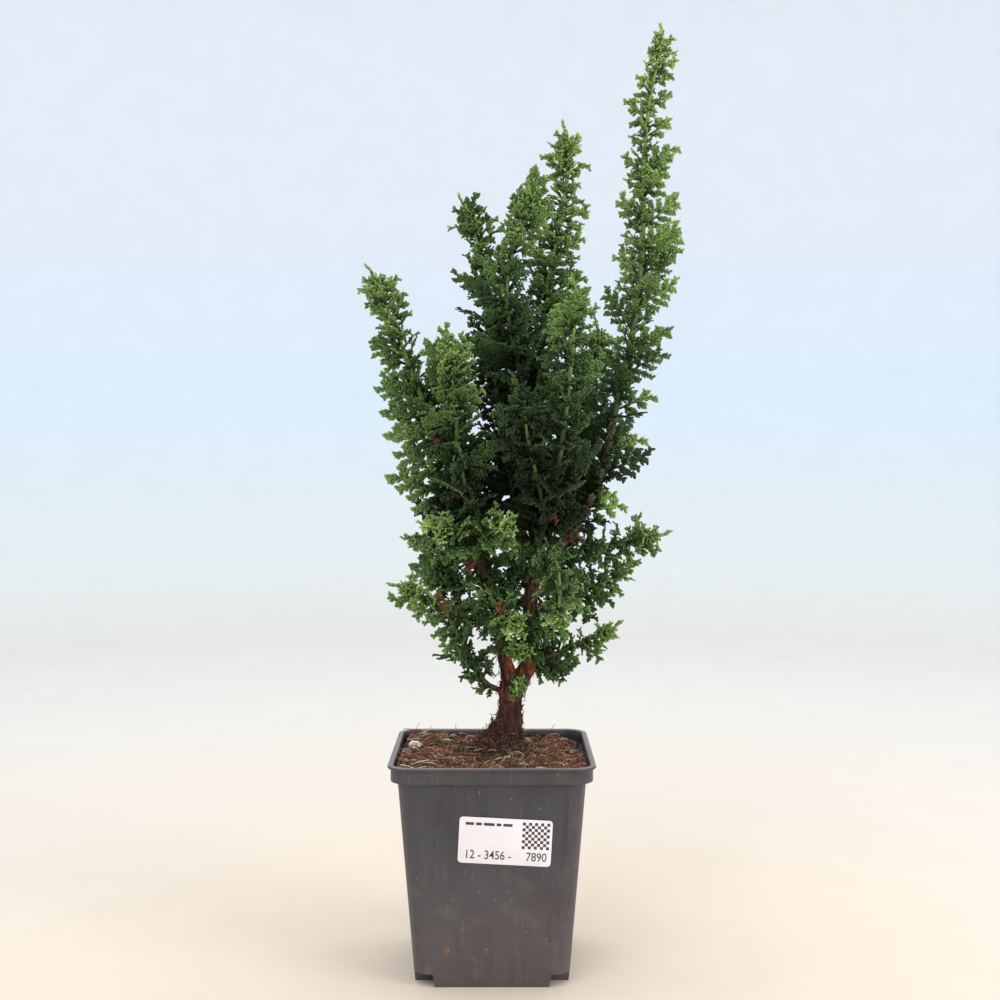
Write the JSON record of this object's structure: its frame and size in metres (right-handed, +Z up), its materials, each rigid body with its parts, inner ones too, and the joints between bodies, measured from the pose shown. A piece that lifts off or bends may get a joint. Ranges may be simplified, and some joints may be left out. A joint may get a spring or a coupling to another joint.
{
  "type": "hinoki cypress bonsai in a square nursery pot",
  "caption": "Young upright hinoki cypress bonsai with tall leaders of dense fan-shaped sprays, rooted in a square tapered nursery pot with a plain label.",
  "frame": {"origin": "middle of the pot's base, on the surface that the pot stands on", "axes": "+Z up along the tree, -Y towards the front wall with the label, +X to the right seen from the front"},
  "size_m": [0.1764, 0.1202, 0.5176],
  "materials": {
    "pot_plastic": "moulded dark grey plastic with a satin sheen",
    "peat_soil": "moist fibrous peat and coir",
    "bark": "red-brown peeling fibrous bark",
    "foliage": "living scale leaves with a waxy sheen",
    "label_paper": "smooth coated white paper",
    "pale_stone": "porous pale grit",
    "green_stone": "pale green algae-stained grit"
  },
  "bodies": {
    "root": {"back_leader": "foliage", "back_left_leader": "foliage", "back_low_spray": "foliage", "back_right_leader": "foliage", "far_left_leader": "foliage", "front_leader": "foliage", "front_low_spray": "foliage", "front_shelf_spray": "foliage", "front_short_leader": "foliage", "front_spray": "foliage", "green_pebble": "green_stone", "hanging_spray": "foliage", "inner_left_leader": "foliage", "label": "label_paper", "left_back_spray": "foliage", "left_inner_spray": "foliage", "left_leader": "foliage", "left_low_branch": "foliage", "left_middle_spray": "foliage", "left_shelf_spray": "foliage", "main_leader": "foliage", "main_side_leader": "foliage", "pot": "pot_plastic", "right_branch": "foliage", "right_low_branch": "foliage", "right_middle_branch": "foliage", "soil": "peat_soil", "tall_right_leader": "foliage", "trunk": "bark", "trunk_sprig": "foliage", "white_pebble": "pale_stone"}
  },
  "joints": []
}
